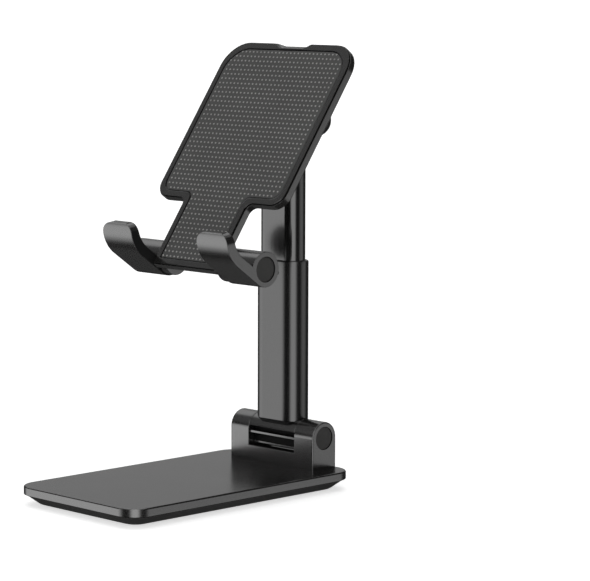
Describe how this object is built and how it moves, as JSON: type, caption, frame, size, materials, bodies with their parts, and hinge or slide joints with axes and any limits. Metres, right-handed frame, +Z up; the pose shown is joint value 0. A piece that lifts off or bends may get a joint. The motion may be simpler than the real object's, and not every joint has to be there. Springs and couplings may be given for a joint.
{
  "type": "folding phone stand",
  "caption": "Folding desktop phone stand: weighted base, telescoping mast with a hinge at each end, tilting T-shaped back plate with a dotted silicone pad, and fold-away hooks that hold the phone",
  "frame": {"origin": "centre of the silicone pad under the base, on the surface it stands on", "axes": "+Z up, -Y to the front where the phone is seen, X across the width and the object's plane of symmetry is X = 0"},
  "size_m": [0.075, 0.1232, 0.1818],
  "materials": {
    "satin_black_shell": "satin moulded plastic, fine even grain",
    "satin_black_tube": "satin black powder coat on a drawn steel tube",
    "dark_tray": "matte",
    "dark_silicone": "matte silicone",
    "dark_cap": "matte, darker than the shell",
    "guide_plastic": "smooth acetal",
    "black_screw": "blackened steel",
    "steel": "plain turned steel"
  },
  "bodies": {
    "base": {"base_cover": "satin_black_shell", "base_tray": "dark_tray", "counterweight": "steel", "base_pad": "dark_silicone", "base_screws": "black_screw", "base_hinge_shaft": "steel", "base_hinge_springs": "steel", "base_hinge_nuts": "steel", "base_hinge_cap_left": "dark_cap", "base_hinge_cap_right": "dark_cap"},
    "lower_mast": {"lower_joint": "satin_black_shell", "outer_tube": "satin_black_tube", "tube_collar": "guide_plastic", "foot_pins": "dark_cap"},
    "upper_mast": {"inner_tube": "satin_black_tube", "upper_joint": "satin_black_shell", "head_pins": "dark_cap", "slide_shoe": "guide_plastic"},
    "plate": {"plate_frame": "satin_black_shell", "plate_pad": "dark_silicone", "plate_cover": "satin_black_shell", "plate_screws": "black_screw", "tilt_cap_left": "satin_black_shell", "tilt_cap_right": "satin_black_shell", "tilt_shaft": "steel", "tilt_springs": "steel", "hook_pins": "steel"},
    "left_hook": {"left_hook": "satin_black_shell", "left_hook_cap": "dark_cap", "left_hook_pad": "dark_silicone"},
    "right_hook": {"right_hook": "satin_black_shell", "right_hook_cap": "dark_cap", "right_hook_pad": "dark_silicone"}
  },
  "joints": [
    {"name": "base_fold", "type": "hinge", "parent": "base", "child": "lower_mast", "pos_m": [0, 0.054, 0.0205], "axis": [1, 0, 0], "range_deg": [0, 55]},
    {"name": "mast_slide", "type": "slide", "parent": "lower_mast", "child": "upper_mast", "axis": [0, 0, 1], "range_m": [-0.0427, 0]},
    {"name": "plate_tilt", "type": "hinge", "parent": "upper_mast", "child": "plate", "pos_m": [0, 0.054, 0.1517], "axis": [1, 0, 0], "range_deg": [-45, 35.1]},
    {"name": "left_hook_fold", "type": "hinge", "parent": "plate", "child": "left_hook", "pos_m": [-0.028, 0.00826, 0.09523], "axis": [1, 0, 0], "range_deg": [-90, 0]},
    {"name": "right_hook_fold", "type": "hinge", "parent": "plate", "child": "right_hook", "pos_m": [0.028, 0.00826, 0.09523], "axis": [1, 0, 0], "range_deg": [-90, 0]}
  ]
}
